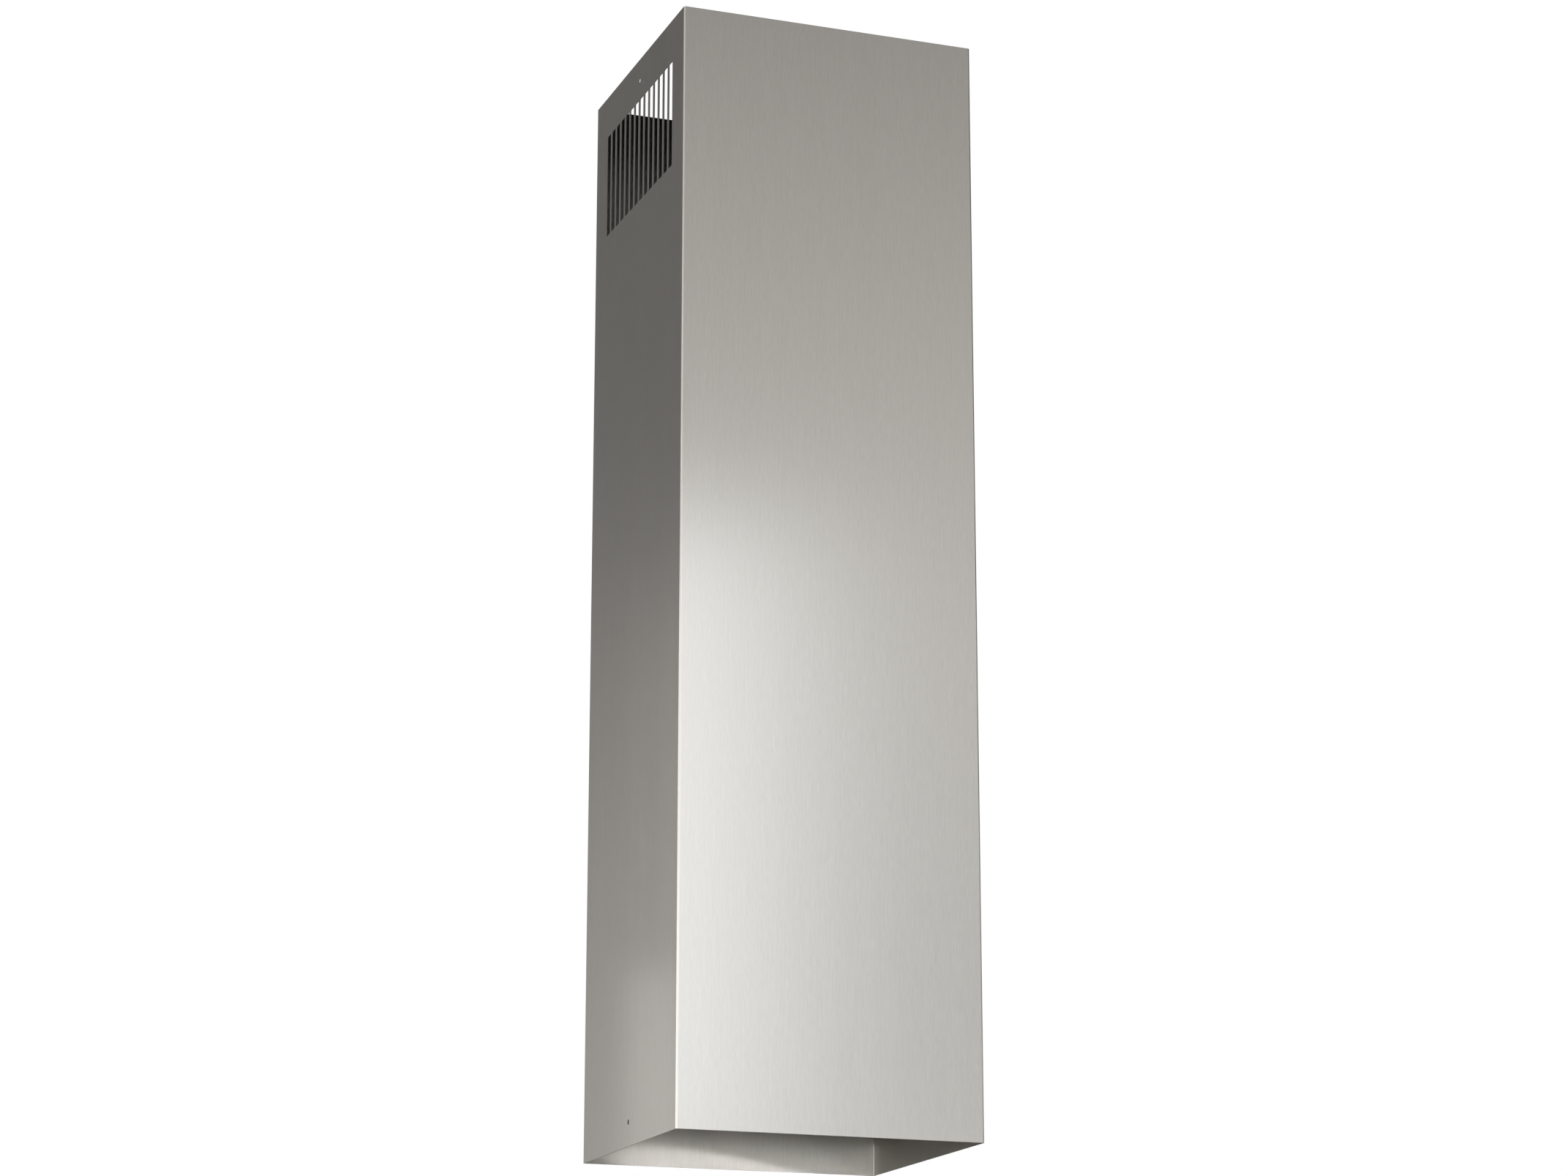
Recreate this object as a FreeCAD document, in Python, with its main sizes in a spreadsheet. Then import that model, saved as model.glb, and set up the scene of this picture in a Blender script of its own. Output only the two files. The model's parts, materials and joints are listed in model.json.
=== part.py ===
import FreeCAD, Part
import math
import os

import Sketcher

# Cooker hood chimney section: one sheet of brushed stainless steel, slotted, folded to a box and
# closed by a welded lap at its rear left corner.
# Millimetres. +Z is up, the front faces -Y and the origin is the centre of the lower rim.

PARTS_FOLDER = "parts"

# Driving dimensions. Sheet thickness and inside bend radius set every fold.
DIMENSIONS = {
    # outside of the folded box
    "chimney_width": 276,
    "chimney_depth": 256,
    "chimney_height": 1000,
    # the sheet and its folds
    "sheet_thickness": 0.8,
    "bend_inside_radius": 1.0,
    # closing seam: a flange of the rear wall, lapped inside the left wall and welded at the corner
    "seam_flange_width": 15,
    "seam_weld_recess": 0.6,
    # vent grille near the top of both side walls
    "slot_width": 10,
    "slot_height": 100,
    "slot_corner_radius": 1.0,
    "slot_bar_width": 4,
    "grille_top_margin": 40,
    "grille_side_margin_least": 31,
    # fixing screw holes, on the middle line of both side walls
    "screw_hole_diameter": 4.5,
    "screw_hole_edge_distance": 21,
}

doc = FreeCAD.newDocument("chimney_section")


# Spreadsheet

sheet = doc.addObject("Spreadsheet::Sheet", "dims")
for row, (alias, value) in enumerate(DIMENSIONS.items(), start=1):
    cell = f"A{row}"
    sheet.set(cell, str(value))
    sheet.setAlias(cell, alias)
doc.recompute()

# Sizes worked out from the driving dimensions, written as expressions on the sheet
BEND_OUTSIDE_RADIUS = "(dims.bend_inside_radius + dims.sheet_thickness)"
SLOT_PITCH = "(dims.slot_width + dims.slot_bar_width)"
GRILLE_WIDTH_MOST = "(dims.chimney_depth - 2 * dims.grille_side_margin_least)"
SLOT_COUNT = f"floor(({GRILLE_WIDTH_MOST} + dims.slot_bar_width) / {SLOT_PITCH})"


def size(expression):
    """The number that an expression on the sheet gives now."""
    return float(sheet.evalExpression(expression))


# Sketch helpers

START, END, CENTRE = 1, 2, 3
ORIGIN = (-1, 1)
UP = FreeCAD.Vector(0, 0, 1)


def new_sketch(body, name, plane_role):
    """A sketch on one of the body's own origin planes."""
    plane = next(f for f in body.Origin.OriginFeatures if f.Role == plane_role)
    sketch = body.newObject("Sketcher::SketchObject", name)
    sketch.AttachmentSupport = (plane, [""])
    sketch.MapMode = "FlatFace"
    return sketch


def line(sketch, start, end):
    return sketch.addGeometry(
        Part.LineSegment(FreeCAD.Vector(*start, 0), FreeCAD.Vector(*end, 0))
    )


def arc(sketch, centre, radius, from_degrees, to_degrees):
    circle = Part.Circle(FreeCAD.Vector(*centre, 0), UP, radius)
    return sketch.addGeometry(
        Part.ArcOfCircle(circle, math.radians(from_degrees), math.radians(to_degrees))
    )


def join(sketch, kind, first, second):
    """The end of one edge runs into the start of the next, tangent or merely touching."""
    sketch.addConstraint(Sketcher.Constraint(kind, first, END, second, START))


def level(sketch, *lines):
    for edge in lines:
        sketch.addConstraint(Sketcher.Constraint("Horizontal", edge))


def upright(sketch, *lines):
    for edge in lines:
        sketch.addConstraint(Sketcher.Constraint("Vertical", edge))


def same_radius(sketch, first, *others):
    for other in others:
        sketch.addConstraint(Sketcher.Constraint("Equal", first, other))


def dimension(sketch, name, kind, geometry, expression):
    """A named dimension, held to an expression on the sheet."""
    value = size(expression)
    index = sketch.addConstraint(Sketcher.Constraint(kind, *geometry, value))
    sketch.renameConstraint(index, name)
    sketch.setExpression(f"Constraints.{name}", expression)


def rounded_rectangle(sketch, left, bottom, width, height, radius):
    """A rectangle with round corners. All five are expressions on the sheet."""
    x0, y0, r = size(left), size(bottom), size(radius)
    x1, y1 = x0 + size(width), y0 + size(height)
    base = line(sketch, (x0 + r, y0), (x1 - r, y0))
    base_to_right = arc(sketch, (x1 - r, y0 + r), r, 270, 360)
    right_side = line(sketch, (x1, y0 + r), (x1, y1 - r))
    right_to_top = arc(sketch, (x1 - r, y1 - r), r, 0, 90)
    top = line(sketch, (x1 - r, y1), (x0 + r, y1))
    top_to_left = arc(sketch, (x0 + r, y1 - r), r, 90, 180)
    left_side = line(sketch, (x0, y1 - r), (x0, y0 + r))
    left_to_base = arc(sketch, (x0 + r, y0 + r), r, 180, 270)
    loop = [
        base, base_to_right, right_side, right_to_top,
        top, top_to_left, left_side, left_to_base,
    ]
    for first, second in zip(loop, loop[1:] + loop[:1]):
        join(sketch, "Tangent", first, second)
    level(sketch, base, top)
    upright(sketch, left_side, right_side)
    same_radius(sketch, base_to_right, right_to_top, top_to_left, left_to_base)
    dimension(sketch, "corner_radius", "Radius", (base_to_right,), radius)
    dimension(sketch, "wide", "DistanceX", (left_side, START, right_side, START), width)
    dimension(sketch, "tall", "DistanceY", (base, START, top, START), height)
    dimension(sketch, "from_left", "DistanceX", (*ORIGIN, left_side, START), left)
    dimension(sketch, "from_base", "DistanceY", (*ORIGIN, base, START), bottom)


def cut_both_side_walls(body, name, sketch):
    """A pocket from the middle plane outwards, through the left wall and the right wall."""
    pocket = body.newObject("PartDesign::Pocket", name)
    pocket.Profile = sketch
    pocket.SideType = "Symmetric"
    pocket.Type = "ThroughAll"
    return pocket


# Folded section: the sheet runs from the free rear edge of the left wall, round the front left,
# front right and rear right folds, along the rear wall and into the lapped seam flange.

body = doc.addObject("PartDesign::Body", "chimney_section")
body.Label = "chimney_section"
section = new_sketch(body, "folded_section", "XY_Plane")

half_width = size("dims.chimney_width") / 2
half_depth = size("dims.chimney_depth") / 2
thickness = size("dims.sheet_thickness")
inside_radius = size("dims.bend_inside_radius")
outside_radius = size(BEND_OUTSIDE_RADIUS)
flange_end_y = half_depth - size("dims.seam_flange_width")
weld_y = half_depth - size("dims.seam_weld_recess")

left_fold_x = -half_width + outside_radius
right_fold_x = half_width - outside_radius
front_fold_y = -half_depth + outside_radius
rear_fold_y = half_depth - outside_radius
flange_fold_x = left_fold_x + thickness
left_inside_x = -half_width + thickness
right_inside_x = half_width - thickness
front_inside_y = -half_depth + thickness
rear_inside_y = half_depth - thickness
flange_inside_x = left_inside_x + thickness
weld_rise = weld_y - rear_fold_y
weld_reach = math.sqrt(outside_radius ** 2 - weld_rise ** 2)
weld_degrees = 180 - math.degrees(math.atan2(weld_rise, weld_reach))

# outside of the sheet
left_outside = line(section, (-half_width, half_depth), (-half_width, front_fold_y))
front_left_outside = arc(section, (left_fold_x, front_fold_y), outside_radius, 180, 270)
front_outside = line(section, (left_fold_x, -half_depth), (right_fold_x, -half_depth))
front_right_outside = arc(section, (right_fold_x, front_fold_y), outside_radius, 270, 360)
right_outside = line(section, (half_width, front_fold_y), (half_width, rear_fold_y))
rear_right_outside = arc(section, (right_fold_x, rear_fold_y), outside_radius, 0, 90)
rear_outside = line(section, (right_fold_x, half_depth), (flange_fold_x, half_depth))
flange_fold_outside = arc(section, (flange_fold_x, rear_fold_y), outside_radius, 90, weld_degrees)
weld_face = line(section, (flange_fold_x - weld_reach, weld_y), (left_inside_x, weld_y))
left_lip_inside = line(section, (left_inside_x, weld_y), (left_inside_x, half_depth))
left_cut_edge = line(section, (left_inside_x, half_depth), (-half_width, half_depth))

# inside of the sheet
left_inside = line(section, (left_inside_x, flange_end_y), (left_inside_x, front_fold_y))
front_left_inside = arc(section, (left_fold_x, front_fold_y), inside_radius, 180, 270)
front_inside = line(section, (left_fold_x, front_inside_y), (right_fold_x, front_inside_y))
front_right_inside = arc(section, (right_fold_x, front_fold_y), inside_radius, 270, 360)
right_inside = line(section, (right_inside_x, front_fold_y), (right_inside_x, rear_fold_y))
rear_right_inside = arc(section, (right_fold_x, rear_fold_y), inside_radius, 0, 90)
rear_inside = line(section, (right_fold_x, rear_inside_y), (flange_fold_x, rear_inside_y))
flange_fold_inside = arc(section, (flange_fold_x, rear_fold_y), inside_radius, 90, 180)
flange_inside = line(section, (flange_inside_x, rear_fold_y), (flange_inside_x, flange_end_y))
flange_end = line(section, (flange_inside_x, flange_end_y), (left_inside_x, flange_end_y))

outside_run = [
    left_outside, front_left_outside, front_outside, front_right_outside,
    right_outside, rear_right_outside, rear_outside, flange_fold_outside,
]
inside_run = [
    left_inside, front_left_inside, front_inside, front_right_inside,
    right_inside, rear_right_inside, rear_inside, flange_fold_inside, flange_inside,
]
for run in (outside_run, inside_run):
    for first, second in zip(run, run[1:]):
        join(section, "Tangent", first, second)
for corner in (
    (flange_fold_outside, weld_face),
    (weld_face, left_lip_inside),
    (left_lip_inside, left_cut_edge),
    (left_cut_edge, left_outside),
    (flange_inside, flange_end),
    (flange_end, left_inside),
):
    join(section, "Coincident", *corner)

level(section, front_outside, rear_outside, weld_face, left_cut_edge)
level(section, front_inside, rear_inside, flange_end)
upright(section, left_outside, right_outside, left_lip_inside)
upright(section, left_inside, right_inside, flange_inside)
same_radius(
    section, front_left_outside, front_right_outside, rear_right_outside, flange_fold_outside
)
same_radius(
    section, front_left_inside, front_right_inside, rear_right_inside, flange_fold_inside
)
section.addConstraint(
    Sketcher.Constraint("Vertical", flange_fold_outside, CENTRE, flange_fold_inside, CENTRE)
)

SECTION_DIMENSIONS = [
    ("width", "DistanceX", (left_outside, END, right_outside, START), "dims.chimney_width"),
    ("half_width", "DistanceX", (left_outside, END, *ORIGIN), "dims.chimney_width / 2"),
    ("depth", "DistanceY", (front_outside, START, rear_outside, START), "dims.chimney_depth"),
    ("half_depth", "DistanceY", (front_outside, START, *ORIGIN), "dims.chimney_depth / 2"),
    ("lip_height", "DistanceY", (front_outside, START, left_cut_edge, END), "dims.chimney_depth"),
    ("fold_outside", "Radius", (front_left_outside,), BEND_OUTSIDE_RADIUS),
    ("fold_inside", "Radius", (front_left_inside,), "dims.bend_inside_radius"),
    ("left_sheet", "DistanceX", (left_outside, END, left_inside, END), "dims.sheet_thickness"),
    ("lip_sheet", "DistanceX", (left_outside, END, left_lip_inside, END), "dims.sheet_thickness"),
    ("flange_sheet", "DistanceX", (left_inside, END, flange_inside, END), "dims.sheet_thickness"),
    ("front_sheet", "DistanceY", (front_outside, END, front_inside, START), "dims.sheet_thickness"),
    ("right_sheet", "DistanceX", (right_inside, END, right_outside, START), "dims.sheet_thickness"),
    ("rear_sheet", "DistanceY", (rear_inside, END, rear_outside, START), "dims.sheet_thickness"),
    ("flange_width", "DistanceY", (flange_end, START, rear_outside, END), "dims.seam_flange_width"),
    ("weld_recess", "DistanceY", (weld_face, START, rear_outside, END), "dims.seam_weld_recess"),
]
for entry in SECTION_DIMENSIONS:
    dimension(section, *entry)
doc.recompute()

shell = body.newObject("PartDesign::Pad", "folded_shell")
shell.Profile = section
shell.setExpression("Length", "dims.chimney_height")
doc.recompute()
shell_volume = shell.Shape.Volume


# Vent grille: upright slots through both side walls, centred on the depth of the box.

slot = new_sketch(body, "vent_slot", "YZ_Plane")
rounded_rectangle(
    slot,
    left=f"-(({SLOT_COUNT} - 1) * {SLOT_PITCH} + dims.slot_width) / 2",
    bottom="dims.chimney_height - dims.grille_top_margin - dims.slot_height",
    width="dims.slot_width",
    height="dims.slot_height",
    radius="dims.slot_corner_radius",
)
first_slot = cut_both_side_walls(body, "first_vent_slot", slot)
doc.recompute()
one_slot_volume = shell_volume - first_slot.Shape.Volume

grille = body.newObject("PartDesign::LinearPattern", "vent_grille")
grille.Originals = [first_slot]
grille.Direction = (slot, ["H_Axis"])
grille.Mode = "Spacing"
grille.setExpression("Offset", SLOT_PITCH)
grille.setExpression("Occurrences", SLOT_COUNT)
body.Tip = grille
doc.recompute()
grille_volume = shell_volume - grille.Shape.Volume


# Fixing screw holes: one near each end of both side walls.

screw_holes = new_sketch(body, "screw_holes", "YZ_Plane")
for name, height in (
    ("lower", "dims.screw_hole_edge_distance"),
    ("upper", "dims.chimney_height - dims.screw_hole_edge_distance"),
):
    centre = FreeCAD.Vector(0, size(height), 0)
    radius = size("dims.screw_hole_diameter / 2")
    hole = screw_holes.addGeometry(Part.Circle(centre, UP, radius))
    screw_holes.addConstraint(Sketcher.Constraint("Vertical", hole, CENTRE, *ORIGIN))
    dimension(
        screw_holes, f"{name}_diameter", "Diameter", (hole,), "dims.screw_hole_diameter"
    )
    dimension(screw_holes, f"{name}_height", "DistanceY", (*ORIGIN, hole, CENTRE), height)
drilled = cut_both_side_walls(body, "drilled_shell", screw_holes)
body.Tip = drilled
doc.recompute()
holes_volume = grille.Shape.Volume - drilled.Shape.Volume


# Checks: every feature is sound, and each cut took exactly the metal it should.

for item in doc.Objects:
    faults = {"Invalid", "Error"} & set(item.State)
    if faults:
        raise RuntimeError(f"{item.Name} is {sorted(faults)}")

both_walls = 2 * size("dims.sheet_thickness")
slot_corner_waste = (4 - math.pi) * size("dims.slot_corner_radius") ** 2
slot_area = size("dims.slot_width * dims.slot_height") - slot_corner_waste
hole_area = math.pi / 4 * size("dims.screw_hole_diameter") ** 2
for name, taken, expected in (
    ("first vent slot", one_slot_volume, slot_area * both_walls),
    ("vent grille", grille_volume, slot_area * both_walls * size(SLOT_COUNT)),
    ("screw holes", holes_volume, 2 * hole_area * both_walls),
):
    if abs(taken - expected) > 1e-3 * expected:
        raise RuntimeError(f"{name} took {taken:.2f} mm3, not {expected:.2f} mm3")

part_shape = body.Shape
if part_shape.isNull() or not part_shape.isValid() or len(part_shape.Solids) != 1:
    raise RuntimeError("the chimney section is not one sound solid")


# Export

os.makedirs(PARTS_FOLDER, exist_ok=True)
part_shape.exportStep(f"{PARTS_FOLDER}/{body.Label}.step")
print(f"{body.Label}: {part_shape.Volume:.0f} mm3, box {part_shape.BoundBox}")
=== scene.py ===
import json
import math

import bmesh
import bpy
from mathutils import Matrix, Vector


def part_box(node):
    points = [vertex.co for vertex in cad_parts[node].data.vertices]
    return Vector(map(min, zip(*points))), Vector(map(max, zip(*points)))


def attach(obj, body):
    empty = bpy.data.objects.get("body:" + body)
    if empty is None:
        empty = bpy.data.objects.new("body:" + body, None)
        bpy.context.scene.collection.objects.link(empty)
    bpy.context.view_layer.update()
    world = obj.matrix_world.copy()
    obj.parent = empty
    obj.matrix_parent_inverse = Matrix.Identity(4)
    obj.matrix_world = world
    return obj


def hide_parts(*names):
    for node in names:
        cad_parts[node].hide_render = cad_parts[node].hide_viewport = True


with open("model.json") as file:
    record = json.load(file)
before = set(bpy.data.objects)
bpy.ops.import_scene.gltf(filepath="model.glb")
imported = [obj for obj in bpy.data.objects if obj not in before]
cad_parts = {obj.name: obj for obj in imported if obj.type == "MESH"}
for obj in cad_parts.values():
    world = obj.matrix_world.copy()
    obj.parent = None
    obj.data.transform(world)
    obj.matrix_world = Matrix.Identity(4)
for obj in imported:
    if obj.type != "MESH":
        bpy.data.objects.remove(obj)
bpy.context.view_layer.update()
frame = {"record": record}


# The chimney sheet is one blank of 0.8 mm stainless steel, brushed along its height. Vent slots and
# screw holes are punched while it is flat, then four folds close it to a box, and its last flange
# is lapped inside the left wall.
low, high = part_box("chimney_section")
WIDTH, DEPTH, HEIGHT = high - low

# The sheet, its folds, its seam and its cut edges
SHEET = 0.0008
FOLD_INSIDE = 0.0010
FOLD_OUTSIDE = FOLD_INSIDE + SHEET
FOLD_STEPS = 12
SEAM_FLANGE = 0.015
LAP_GAP = 0.00004
EDGE_ROUND = 0.00012
BLANK_CORNER = 2 * EDGE_ROUND
CORNER_STEPS = 5

# The vent slots of a side wall
SLOT_WIDTH = 0.010
SLOT_BAR = 0.004
SLOT_HEIGHT = 0.100
SLOT_CORNER = 0.001
SLOT_TOP_MARGIN = 0.040
SLOT_COUNT = 14
SLOT_PITCH = SLOT_WIDTH + SLOT_BAR

# The screw holes of a side wall
screw_mount = next(m for m in frame["record"]["mounts"] if m["name"] == "left_screw_holes")
SCREW_RADIUS = screw_mount["dims"]["hole_r_mm"] / 1000
SCREW_SPACING = screw_mount["dims"]["spacing_y_mm"] / 1000
SCREW_STEPS = 10

# Flat lengths of the blank, from the free rear edge of the left wall to the end of the seam flange
FOLD_RUN = FOLD_OUTSIDE * math.pi / 2
WALLS = [
    DEPTH - FOLD_OUTSIDE,
    WIDTH - 2 * FOLD_OUTSIDE,
    DEPTH - 2 * FOLD_OUTSIDE,
    WIDTH - 2 * FOLD_OUTSIDE - SHEET - LAP_GAP,
    SEAM_FLANGE - FOLD_OUTSIDE,
]
LEFT_WALL, RIGHT_WALL = 0, 2

# Points of an outline closer than this are one, and so are mesh corners equal to this many decimals
SAME_POINT = EDGE_ROUND / 100
CORNER_DECIMALS = 8

# Face attribute that marks the punched and sheared edges
CUT_EDGE = "cut_edge"


def wall_start(index):
    """Where a wall begins along the blank."""
    return sum(WALLS[:index]) + index * FOLD_RUN


def folded_frame(run):
    """Point on the outside of the folded sheet, its direction of run and its outward normal."""
    point = Vector((low.x, high.y, low.z))
    heading, outward = Vector((0, -1, 0)), Vector((-1, 0, 0))
    for wall in WALLS:
        if run <= wall:
            return point + heading * run, heading, outward
        point, run = point + heading * wall, run - wall
        turn = min(run / FOLD_OUTSIDE, math.pi / 2)
        centre = point - outward * FOLD_OUTSIDE
        heading, outward = (
            heading * math.cos(turn) - outward * math.sin(turn),
            outward * math.cos(turn) + heading * math.sin(turn),
        )
        point, run = centre + outward * FOLD_OUTSIDE, run - FOLD_RUN
        if run <= 0:
            return point, heading, outward
    return point, heading, outward


def rounded_outline(left, bottom, right, top, radius, steps, breaks=()):
    """Points round a rectangle with round corners, anticlockwise, each with its outward normal.

    The breaks are extra points along its bottom and its top.
    """
    outline = []
    corners = [
        (right - radius, bottom + radius, -90),
        (right - radius, top - radius, 0),
        (left + radius, top - radius, 90),
        (left + radius, bottom + radius, 180),
    ]
    for index, (u, v, start) in enumerate(corners):
        for step in range(steps + 1):
            angle = math.radians(start + 90 * step / steps)
            normal = Vector((math.cos(angle), math.sin(angle)))
            outline.append((Vector((u, v)) + normal * radius, normal))
        if index == 1:
            outline += [(Vector((run, top)), Vector((0, 1))) for run in reversed(breaks)]
        if index == 3:
            outline += [(Vector((run, bottom)), Vector((0, -1))) for run in breaks]
    return [
        here for before, here in zip(outline[-1:] + outline, outline)
        if (here[0] - before[0]).length > SAME_POINT
    ]


def punched(outline):
    """The same outline as the edge of an opening: metal lies outside it."""
    return [(point, -normal) for point, normal in reversed(outline)]


class Blank:
    """The flat sheet as a mesh: points (run, height, depth) and faces with a normal at each corner."""

    def __init__(self):
        self.points, self.index, self.faces, self.normals, self.cut = [], {}, [], [], []

    def corner(self, run, height, depth):
        """Number of the mesh point at a place on the sheet, which is added if it is new."""
        key = tuple(round(value, CORNER_DECIMALS) for value in (run, height, depth))
        if key not in self.index:
            self.index[key] = len(self.points)
            self.points.append((run, height, depth))
        return self.index[key]

    def face(self, corners, normals, cut=False):
        self.faces.append([self.corner(*corner) for corner in corners])
        self.normals.append(list(normals))
        self.cut.append(cut)

    def edge(self, outline):
        """The cut edge along an outline, with both its arrises rounded off."""
        for (p, m), (q, n) in zip(outline, outline[1:] + outline[:1]):
            rails = []
            for point, normal in ((p, m), (q, n)):
                back = point - normal * EDGE_ROUND
                side = (*normal, 0)
                rails.append([
                    ((*back, 0), (0, 0, 1)),
                    ((*point, EDGE_ROUND), side),
                    ((*point, SHEET - EDGE_ROUND), side),
                    ((*back, SHEET), (0, 0, -1)),
                ])
            for upper, lower in ((0, 1), (1, 2), (2, 3)):
                ring = (rails[0][upper], rails[0][lower], rails[1][lower], rails[1][upper])
                self.face([corner for corner, _ in ring], [normal for _, normal in ring], cut=True)

    def skin(self, border, openings):
        """The outside and inside faces within a border, less its openings."""
        loops = [[p - m * EDGE_ROUND for p, m in loop] for loop in (border, *openings)]
        plain_rectangle = len(border) == 4 and not openings
        cells = loops if plain_rectangle else filled(loops)
        for cell in cells:
            self.face([(*p, 0) for p in cell], [(0, 0, 1)] * len(cell))
            self.face([(*p, SHEET) for p in reversed(cell)], [(0, 0, -1)] * len(cell))


def filled(loops):
    """Triangles that fill the first loop, less the others."""
    flat = bmesh.new()
    for loop in loops:
        ring = [flat.verts.new((*point, 0)) for point in loop]
        for start, end in zip(ring, ring[1:] + ring[:1]):
            flat.edges.new((start, end))
    bmesh.ops.triangle_fill(flat, use_beauty=True, edges=flat.edges[:], normal=(0, 0, 1))
    cells = []
    for face in flat.faces:
        cell = [vert.co.to_2d() for vert in face.verts]
        if face.normal.z < 0:
            cell.reverse()
        cells.append(cell)
    flat.free()
    return cells


def side_wall_openings(middle):
    """Vent slots and screw holes, about the middle line of a side wall."""
    openings = []
    slot_top = HEIGHT - SLOT_TOP_MARGIN
    for number in range(SLOT_COUNT):
        left = middle + (number - (SLOT_COUNT - 1) / 2) * SLOT_PITCH - SLOT_WIDTH / 2
        openings.append(rounded_outline(
            left, slot_top - SLOT_HEIGHT, left + SLOT_WIDTH, slot_top, SLOT_CORNER, CORNER_STEPS
        ))
    for height in ((HEIGHT - SCREW_SPACING) / 2, (HEIGHT + SCREW_SPACING) / 2):
        openings.append(rounded_outline(
            middle - SCREW_RADIUS, height - SCREW_RADIUS,
            middle + SCREW_RADIUS, height + SCREW_RADIUS,
            SCREW_RADIUS, SCREW_STEPS,
        ))
    return [punched(outline) for outline in openings]


def punched_blank():
    """The flat blank, divided at each end of a wall and along each fold."""
    stations = [0.0]
    for index, wall in enumerate(WALLS):
        start = wall_start(index)
        if index:
            stations += [start - FOLD_RUN * (1 - step / FOLD_STEPS) for step in range(1, FOLD_STEPS + 1)]
        stations.append(start + wall)
    rim = rounded_outline(
        0, 0, stations[-1], HEIGHT, BLANK_CORNER, CORNER_STEPS, breaks=stations[1:-1]
    )
    openings = {
        wall_start(LEFT_WALL): side_wall_openings(DEPTH / 2),
        wall_start(RIGHT_WALL): side_wall_openings(
            wall_start(RIGHT_WALL) - FOLD_OUTSIDE + DEPTH / 2
        ),
    }
    blank = Blank()
    blank.edge(rim)
    for start, end in zip(stations, stations[1:]):
        border = [(p, m) for p, m in rim if start - SAME_POINT <= p.x <= end + SAME_POINT]
        cut = next((found for at, found in openings.items() if abs(at - start) < SAME_POINT), [])
        blank.skin(border, cut)
        for outline in cut:
            blank.edge(outline)
    return blank


def folded_mesh(blank, name):
    """Folds the blank: each point and each corner normal turns with its place along the run."""
    places, turned = [], []
    for run, height, depth in blank.points:
        point, _, outward = folded_frame(run)
        places.append(point - outward * depth + Vector((0, 0, height)))
    for face, normals in zip(blank.faces, blank.normals):
        for corner, (along, up, out) in zip(face, normals):
            _, heading, outward = folded_frame(blank.points[corner][0])
            turned.append((heading * along + outward * out + Vector((0, 0, up))).normalized())
    mesh = bpy.data.meshes.new(name)
    mesh.from_pydata(places, [], blank.faces)
    mesh.attributes.new(CUT_EDGE, "FLOAT", "FACE").data.foreach_set("value", blank.cut)
    mesh.shade_smooth()
    mesh.normals_split_custom_set(turned)
    return mesh


chimney_sheet = bpy.data.objects.new("chimney_sheet", folded_mesh(punched_blank(), "chimney_sheet"))
bpy.context.collection.objects.link(chimney_sheet)

# The brush grain's streaks: width, length, detail of the noise, and share in the grain
HAIR = (0.0007, 0.010, 2.0, 0.6)
SCRATCH = (0.0016, 0.045, 1.0, 0.3)
BAND = (0.012, 0.9, 1.0, 0.1)

STEEL_DARK = (0.538, 0.52, 0.488, 1)
STEEL_LIGHT = (0.724, 0.70, 0.657, 1)
STEEL_ROUGHNESS = 0.26
GRAIN_ROUGHNESS = 0.10
GRAIN_STRENGTH = 0.15
GRAIN_DEPTH = 0.00002
BRUSHED_ANISOTROPY = 0.55
CUT_COLOUR = (0.24, 0.23, 0.22, 1)
CUT_ROUGHNESS = 0.25


class Wire:
    """A shader socket. Arithmetic on it adds Math nodes, and node() adds any other node."""

    def __init__(self, tree, socket=None):
        self.tree, self.socket = tree, socket

    def node(self, kind, settings=None, sockets=None, output=0):
        made = self.tree.nodes.new(kind)
        for name, value in (settings or {}).items():
            setattr(made, name, value)
        for name, value in (sockets or {}).items():
            if isinstance(value, Wire):
                self.tree.links.new(value.socket, made.inputs[name])
            else:
                made.inputs[name].default_value = value
        return Wire(self.tree, made.outputs[output] if made.outputs else None)

    def math(self, operation, *values):
        return self.node("ShaderNodeMath", {"operation": operation}, dict(enumerate(values)))

    def vector(self, operation, sockets):
        return self.node("ShaderNodeVectorMath", {"operation": operation}, sockets)

    def mix(self, factor, first, second):
        """A colour between two others."""
        sockets = {"Factor": factor, "A": first, "B": second}
        return self.node("ShaderNodeMix", {"data_type": "RGBA"}, sockets, "Result")

    def __add__(self, other):
        return self.math("ADD", self, other)

    def __sub__(self, other):
        return self.math("SUBTRACT", self, other)

    def __rsub__(self, other):
        return self.math("SUBTRACT", other, self)

    def __mul__(self, other):
        return self.math("MULTIPLY", self, other)

    __radd__ = __add__
    __rmul__ = __mul__


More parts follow.
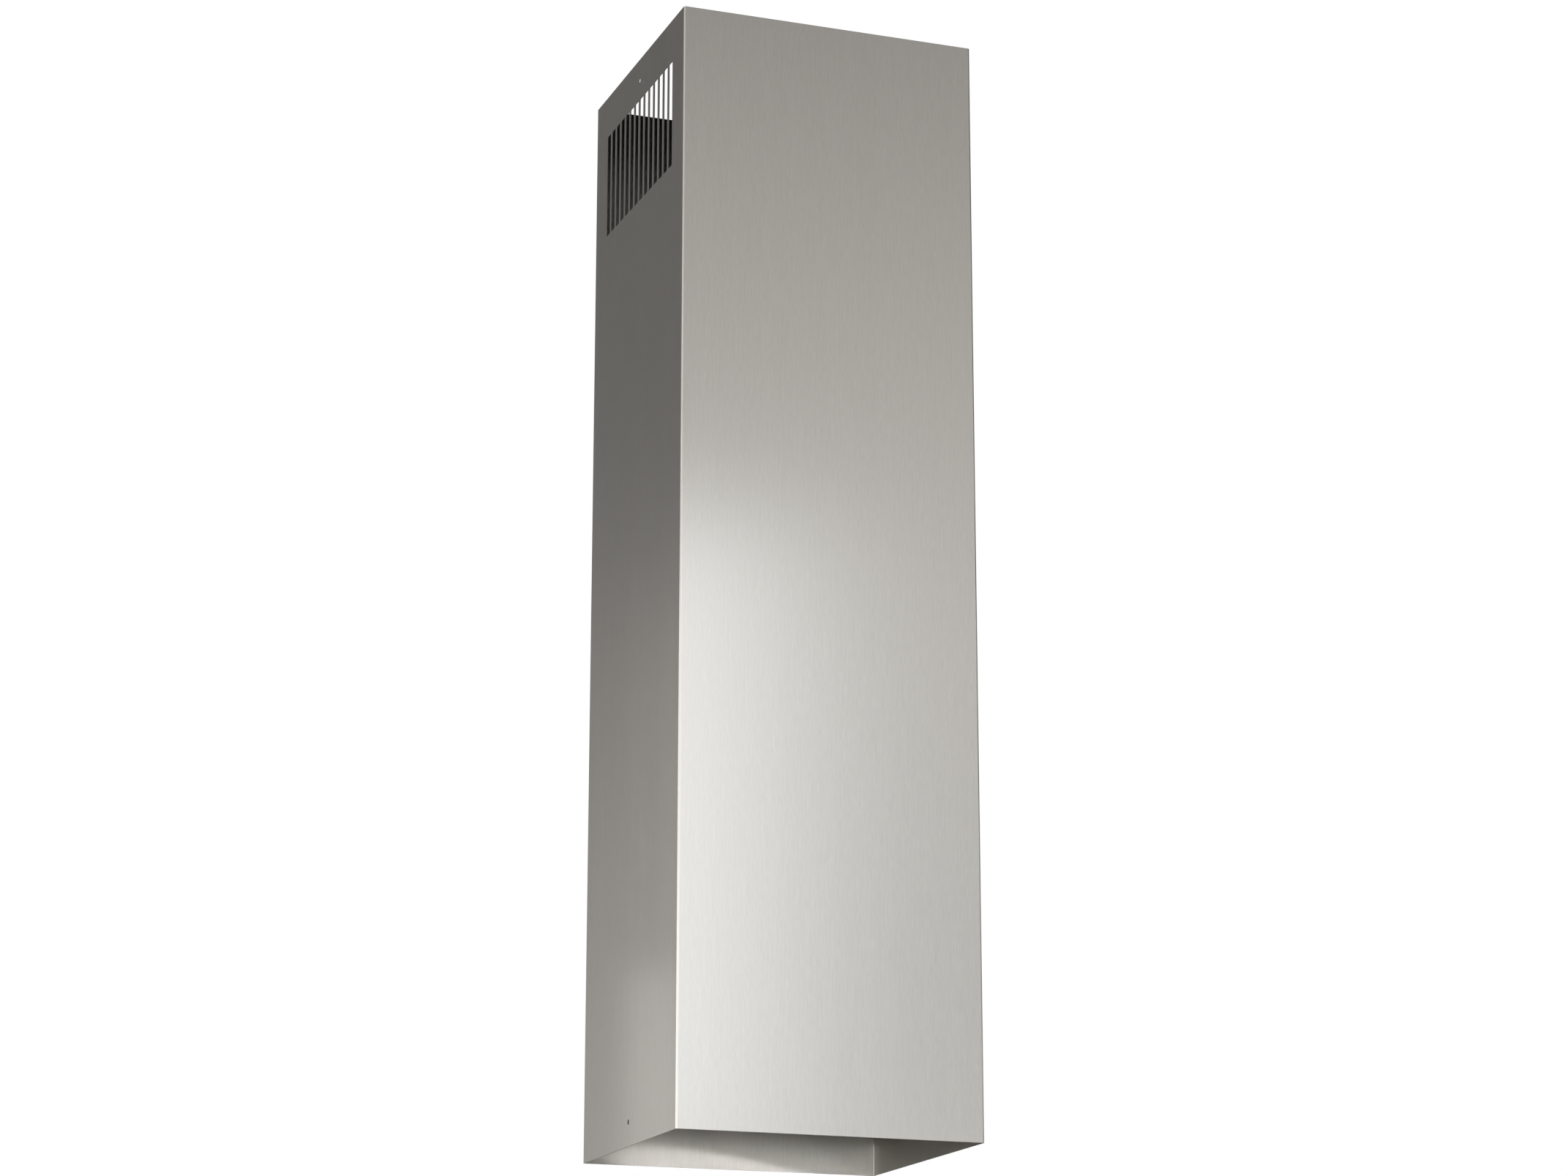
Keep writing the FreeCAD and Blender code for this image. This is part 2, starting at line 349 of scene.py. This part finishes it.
def brushed_stainless():
    """Satin stainless steel with a fine upright brush grain, and dull where the sheet is cut."""
    material = bpy.data.materials.new("brushed_stainless")
    material.use_nodes = True
    material.node_tree.nodes.clear()
    steel = Wire(material.node_tree)
    place = steel.node("ShaderNodeTexCoord", output="Object")

    def streaks(width, length, detail, share):
        across, along = 1 / width, 1 / length
        stretched = steel.vector("MULTIPLY", {0: place, 1: (across, across, along)})
        sockets = {"Vector": stretched, "Scale": 1.0, "Detail": detail}
        return share * steel.node("ShaderNodeTexNoise", {}, sockets, "Fac")

    grain = streaks(*HAIR) + streaks(*SCRATCH) + streaks(*BAND)
    cut = steel.node("ShaderNodeAttribute", {"attribute_name": CUT_EDGE}, output="Fac")
    colour = steel.mix(cut, steel.mix(grain, STEEL_DARK, STEEL_LIGHT), CUT_COLOUR)
    bump = steel.node(
        "ShaderNodeBump",
        {},
        {"Strength": GRAIN_STRENGTH, "Distance": GRAIN_DEPTH, "Height": grain},
        "Normal",
    )
    surface = steel.node(
        "ShaderNodeBsdfPrincipled",
        {},
        {
            "Base Color": colour,
            "Metallic": 1.0,
            "Roughness": STEEL_ROUGHNESS + GRAIN_ROUGHNESS * grain + CUT_ROUGHNESS * cut,
            "Anisotropic": BRUSHED_ANISOTROPY,
            "Normal": bump,
        },
    )
    steel.node("ShaderNodeOutputMaterial", {}, {"Surface": surface})
    return material


chimney_sheet.data.materials.append(brushed_stainless())
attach(chimney_sheet, "root")
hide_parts("chimney_section")


# The studio has a plain pale floor, well below the part, which hangs as it does under a ceiling. A
# dark board over its open top stands for that ceiling, and the camera doesn't see it. A white sweep
# stands behind to the right, and the room is brighter in front than at the back.
FLOOR_HEIGHT = -2.0
FLOOR_HALF = 60.0
FLOOR_COLOUR = (0.90, 0.90, 0.89, 1)

BOARD_GAP = 0.002
BOARD_COLOUR = (0.03, 0.03, 0.03, 1)


def matt_sheet(name, left, front, right, back, height, colour):
    """A level rectangle of matt colour that belongs to the studio."""
    mesh = bpy.data.meshes.new(name)
    corners = [(left, front), (right, front), (right, back), (left, back)]
    mesh.from_pydata([(*corner, height) for corner in corners], [], [(0, 1, 2, 3)])
    sheet = bpy.data.objects.new(name, mesh)
    bpy.context.collection.objects.link(sheet)
    material = bpy.data.materials.new(name)
    material.use_nodes = True
    material.node_tree.nodes.clear()
    paint = Wire(material.node_tree)
    matt = paint.node("ShaderNodeBsdfDiffuse", {}, {"Color": colour})
    paint.node("ShaderNodeOutputMaterial", {}, {"Surface": matt})
    mesh.materials.append(material)
    return sheet


matt_sheet("floor", -FLOOR_HALF, -FLOOR_HALF, FLOOR_HALF, FLOOR_HALF, FLOOR_HEIGHT, FLOOR_COLOUR)
board = matt_sheet("ceiling_board", low.x, low.y, high.x, high.y, high.z + BOARD_GAP, BOARD_COLOUR)
board.visible_camera = False

scene = bpy.context.scene
scene.view_settings.view_transform = "Standard"

world = bpy.data.worlds.new("studio")
scene.world = world
world.use_nodes = True
world.node_tree.nodes.clear()
sky = Wire(world.node_tree)
direction = sky.node("ShaderNodeTexCoord", output="Generated")
right, back, up = (
    sky.node("ShaderNodeSeparateXYZ", {}, {"Vector": direction}, axis) for axis in "XYZ"
)

# Soft edges of the front and the front left, by the cosine of the angle from their middle, and of
# the sweep, by the angle itself
FRONT_EDGE = (0.5, 0.87)
FRONT_LEFT_EDGE = (0.45, 0.80)
FRONT_LEFT_RIGHTWARD, FRONT_LEFT_BACKWARD = -0.91, -0.42
SWEEP_EDGE = (math.radians(16), math.radians(32))
SWEEP_TURN = math.radians(22)

# Tints of the room's light
WARM = (1.015, 1.0, 0.975, 1)
COOL = (0.985, 1.0, 1.02, 1)


def ramp(value, start, end, first, last):
    """Runs smoothly from first, where the value is at start, to last, where it is at end."""
    return sky.node(
        "ShaderNodeMapRange",
        {"interpolation_type": "SMOOTHSTEP"},
        {"Value": value, "From Min": start, "From Max": end, "To Min": first, "To Max": last},
    )


def by_elevation(start, end, first, last):
    """Runs smoothly from first to last between two elevations, in degrees."""
    return ramp(up, math.sin(math.radians(start)), math.sin(math.radians(end)), first, last)


# Brightness of each part of the studio, from the horizon up
horizon = by_elevation(3, 18, first=0.44, last=0.11)
front = by_elevation(4, 13, first=0.44, last=0.86) * by_elevation(16, 30, first=1.0, last=0.16)
front_left = by_elevation(8, 20, first=1.9, last=0.7) * by_elevation(35, 50, first=1.0, last=0.0)
overhead = by_elevation(40, 55, first=0.0, last=1.2)
sweep = by_elevation(30, 45, first=1.0, last=0.0)

# How much of each part lies in a direction
in_front = ramp(back * -1, *FRONT_EDGE, 0.0, 1.0)
at_front_left = ramp(
    right * FRONT_LEFT_RIGHTWARD + back * FRONT_LEFT_BACKWARD, *FRONT_LEFT_EDGE, 0.0, 1.0
)
turned_from_sweep = sky.math("ABSOLUTE", sky.math("ARCTAN2", right, back) - SWEEP_TURN)
on_sweep = ramp(turned_from_sweep, *SWEEP_EDGE, 1.0, 0.0)

room = sky.math("MAXIMUM", horizon + in_front * (front - horizon), at_front_left * front_left)
tint = sky.mix(in_front * by_elevation(8, 20, first=1.0, last=0.0), WARM, COOL)
glow = sky.vector("SCALE", {0: tint, "Scale": room})
for part in (overhead, on_sweep * sweep):
    glow = sky.vector("MAXIMUM", {0: glow, 1: part})
background = sky.node("ShaderNodeBackground", {}, {"Color": glow, "Strength": 1.0})
sky.node("ShaderNodeOutputWorld", {}, {"Surface": background})


# The lamps hang out of the camera's sight. Softboxes light the front and left walls and, from far off
# and low, the inside of the rear wall. Strips with grids add to that wall and to the foot of the left
# one, and spots shine in under the side walls, on the lower rear edge and the rear right fold.
SPOT_BLEND = 0.3
SPOT_RADIUS = 0.004


def hang(lamp, place, aim):
    """Places a lamp and points it."""
    hung = bpy.data.objects.new(lamp.name, lamp)
    hung.location = place
    hung.rotation_euler = (Vector(aim) - Vector(place)).to_track_quat("-Z", "Y").to_euler()
    hung.visible_camera = False
    bpy.context.collection.objects.link(hung)


def softbox(name, place, aim, size, watts, colour=(1, 1, 1), spread=180):
    """A rectangular lamp. A grid on its face narrows the spread of its light, in degrees."""
    lamp = bpy.data.lights.new(name, "AREA")
    lamp.shape = "RECTANGLE"
    lamp.size, lamp.size_y = size
    lamp.spread = math.radians(spread)
    lamp.energy = watts
    lamp.color = colour
    hang(lamp, place, aim)


def spot(name, place, aim, cone, watts):
    """A spot lamp with a narrow cone, in degrees."""
    lamp = bpy.data.lights.new(name, "SPOT")
    lamp.spot_size = math.radians(cone)
    lamp.spot_blend = SPOT_BLEND
    lamp.shadow_soft_size = SPOT_RADIUS
    lamp.energy = watts
    hang(lamp, place, aim)


softbox(
    "key_softbox", place=(-0.12, -0.75, 0.37), aim=(-0.12, 0.00, 0.37),
    size=(0.56, 0.70), watts=1.12, colour=(0.95, 1.0, 1.06),
)
softbox(
    "left_softbox", place=(-0.80, 0.30, 0.34), aim=(-0.138, 0.00, 0.34),
    size=(0.46, 0.66), watts=1.2,
)
softbox(
    "far_softbox", place=(0.95, -2.40, -0.31), aim=(0.00, 0.10, 0.00),
    size=(0.60, 0.24), watts=6.0,
)
softbox(
    "rear_strip", place=(0.03, -0.62, -0.122), aim=(0.03, 0.127, 0.010),
    size=(0.27, 0.03), watts=0.014, spread=3,
)
softbox(
    "left_strip", place=(-0.409, 0.670, 0.165), aim=(-0.138, -0.075, 0.055),
    size=(0.05, 0.20), watts=0.0001, spread=7,
)
spot("rim_spot", place=(1.20, -0.05, -0.137), aim=(0.0, 0.127, -0.004), cone=1.6, watts=620)
spot("fold_spot", place=(-1.42, -0.233, -0.162), aim=(0.1365, 0.1265, 0.012), cone=1.2, watts=60)


# The camera stands to the left and below, and looks up at the part. It is pitched and not shifted, so
# that the part stays in the frame from other sides too.
CAMERA_PLACE = (-1.135, -3.1035, -0.4037)
CAMERA_YAW = math.radians(20.15)
CAMERA_PITCH = math.radians(15.414)
CAMERA_LENS = 87.39
CAMERA_SENSOR = 36.0

camera_data = bpy.data.cameras.new("camera")
camera_data.lens = CAMERA_LENS
camera_data.sensor_width = CAMERA_SENSOR
camera = bpy.data.objects.new("camera", camera_data)
camera.location = CAMERA_PLACE
camera.rotation_euler = (math.pi / 2 + CAMERA_PITCH, 0, -CAMERA_YAW)
bpy.context.collection.objects.link(camera)
scene.camera = camera
